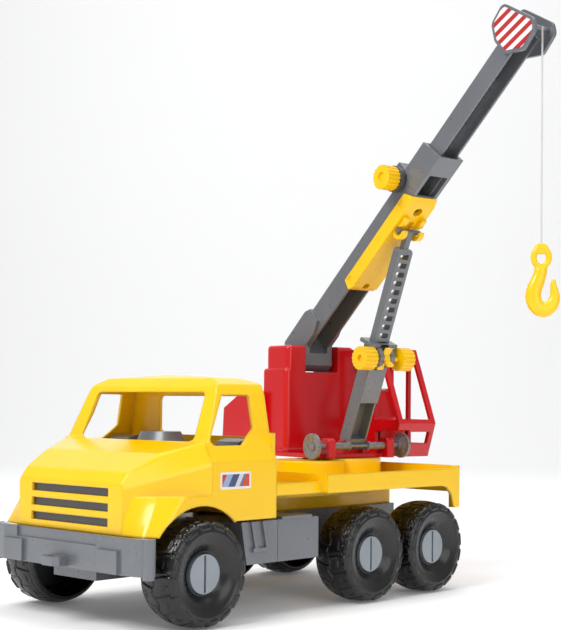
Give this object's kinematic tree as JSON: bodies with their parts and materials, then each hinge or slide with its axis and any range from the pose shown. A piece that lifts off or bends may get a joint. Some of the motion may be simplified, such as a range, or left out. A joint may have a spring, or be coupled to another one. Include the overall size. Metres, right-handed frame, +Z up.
{
  "type": "toy mobile crane truck",
  "caption": "Toy truck with a slewing crane: lifting and telescoping boom, geared strut, winch with cord and hook, open cab and rolling wheels.",
  "frame": {"origin": "bottom centre of the box round everything but the hoist cord and hook, on the ground", "axes": "+X towards the truck's front, +Y towards its left, +Z up"},
  "size_m": [0.4982, 0.4465, 0.5617],
  "materials": {
    "yellow_plastic": "glossy injection-moulded yellow",
    "red_plastic": "glossy injection-moulded red",
    "gray_plastic": "gray plastic with metallic pigment",
    "tyre_black": "satin black moulded wheel",
    "cap_gray": "pale gray hub caps",
    "silver_plated": "silver-plated plastic",
    "steel_rod": "bright drawn rod",
    "hook_yellow": "glossy yellow hook",
    "cord_white": "thin braided cord",
    "sticker_print": "printed sticker"
  },
  "bodies": {
    "truck": {"chassis_frame": "gray_plastic", "front_bumper": "gray_plastic", "side_box_left": "gray_plastic", "side_box_right": "gray_plastic", "cab_shell": "yellow_plastic", "cab_interior": "gray_plastic", "grille_panel": "gray_plastic", "door_sticker_left": "sticker_print", "door_sticker_right": "sticker_print", "deck_bed": "yellow_plastic"},
    "turret": {"turret_base": "red_plastic", "turret_retainer": "gray_plastic", "turret_housing": "red_plastic", "operator_cab": "red_plastic", "operator_seat": "red_plastic", "boom_pivot_pin": "steel_rod", "strut_pivot_pin": "steel_rod"},
    "winch": {"winch_shaft": "silver_plated", "winch_wheel_left": "silver_plated", "winch_wheel_right": "silver_plated"},
    "boom": {"boom_outer": "gray_plastic", "boom_bracket": "yellow_plastic", "boom_knob_flange": "gray_plastic"},
    "extension": {"boom_inner": "gray_plastic", "head_bar": "steel_rod", "head_sticker_left": "sticker_print", "head_sticker_right": "sticker_print"},
    "extension_knob": {"boom_knob": "yellow_plastic"},
    "strut_lower": {"strut_channel": "gray_plastic"},
    "strut_upper": {"ladder_rack": "gray_plastic"},
    "lift_pinion_set": {"lift_knobs": "yellow_plastic", "lift_pinion": "yellow_plastic"},
    "hoist_line": {"hoist_cord": "cord_white"},
    "hook_block": {"crane_hook": "hook_yellow"},
    "axle_set_front": {"axle_front": "steel_rod", "wheel_front_left": "tyre_black", "wheel_front_right": "tyre_black", "hub_cap_front_left": "cap_gray", "hub_cap_front_right": "cap_gray"},
    "axle_set_mid": {"axle_mid": "steel_rod", "wheel_mid_left": "tyre_black", "wheel_mid_right": "tyre_black", "hub_cap_mid_left": "cap_gray", "hub_cap_mid_right": "cap_gray"},
    "axle_set_rear": {"axle_rear": "steel_rod", "wheel_rear_left": "tyre_black", "wheel_rear_right": "tyre_black", "hub_cap_rear_left": "cap_gray", "hub_cap_rear_right": "cap_gray"}
  },
  "joints": [
    {"name": "front_axle_roll", "type": "hinge", "parent": "truck", "child": "axle_set_front", "pos_m": [0.16767, -0.06834, 0.046], "axis": [0, 1, 0], "continuous": true},
    {"name": "mid_axle_roll", "type": "hinge", "parent": "truck", "child": "axle_set_mid", "pos_m": [-0.05093, -0.06834, 0.046], "axis": [0, 1, 0], "continuous": true},
    {"name": "rear_axle_roll", "type": "hinge", "parent": "truck", "child": "axle_set_rear", "pos_m": [-0.14893, -0.06834, 0.046], "axis": [0, 1, 0], "continuous": true},
    {"name": "turret_rotate", "type": "hinge", "parent": "truck", "child": "turret", "pos_m": [-0.13443, -0.06834, 0.13], "axis": [0, 0, 1], "continuous": true},
    {"name": "boom_lift", "type": "hinge", "parent": "turret", "child": "boom", "pos_m": [-0.14374, -0.12112, 0.2375], "axis": [0.9848, -0.1736, 0], "range_deg": [-26, 6]},
    {"name": "boom_extend", "type": "slide", "parent": "boom", "child": "extension", "axis": [0.1311, 0.7432, 0.6561], "range_m": [-0.11, 0.01]},
    {"name": "boom_knob_turn", "type": "hinge", "parent": "boom", "child": "extension_knob", "pos_m": [-0.11622, 0.03497, 0.41794], "axis": [0.9848, -0.1736, 0], "range_deg": [-995, 95]},
    {"name": "strut_swing", "type": "hinge", "parent": "turret", "child": "strut_lower", "pos_m": [-0.13138, -0.05101, 0.1486], "axis": [0.9848, -0.1736, 0], "range_deg": [-25, 8]},
    {"name": "strut_extend", "type": "slide", "parent": "strut_lower", "child": "strut_upper", "axis": [0.0645, 0.3655, 0.9286], "range_m": [-0.055, 0.016]},
    {"name": "lift_knob_turn", "type": "hinge", "parent": "strut_lower", "child": "lift_pinion_set", "pos_m": [-0.1226, -0.00125, 0.23782], "axis": [-0.9848, 0.1736, 0], "range_deg": [-270, 90]},
    {"name": "line_swing", "type": "hinge", "parent": "extension", "child": "hoist_line", "pos_m": [-0.08498, 0.21214, 0.53565], "axis": [0.9848, -0.1736, 0], "range_deg": [-10, 30]},
    {"name": "hook_hoist", "type": "slide", "parent": "hoist_line", "child": "hook_block", "axis": [0, 0, 1], "range_m": [0, 0.14], "deforming": ["hoist_cord"]},
    {"name": "winch_turn", "type": "hinge", "parent": "turret", "child": "winch", "pos_m": [-0.12974, -0.04175, 0.1466], "axis": [0.9848, -0.1736, 0], "range_deg": [-5, 2683.8]}
  ],
  "couplings": [
    {"joint": "boom_knob_turn", "follows": "boom_extend", "rad_per_m": 157.08},
    {"joint": "strut_swing", "follows": "boom_lift", "ratio": 0.80736},
    {"joint": "strut_extend", "follows": "boom_lift", "m_per_rad": 0.10529},
    {"joint": "lift_knob_turn", "follows": "boom_lift", "ratio": 8.732},
    {"joint": "line_swing", "follows": "boom_lift", "ratio": -1},
    {"joint": "winch_turn", "follows": "hook_hoist", "rad_per_m": 333.33}
  ]
}
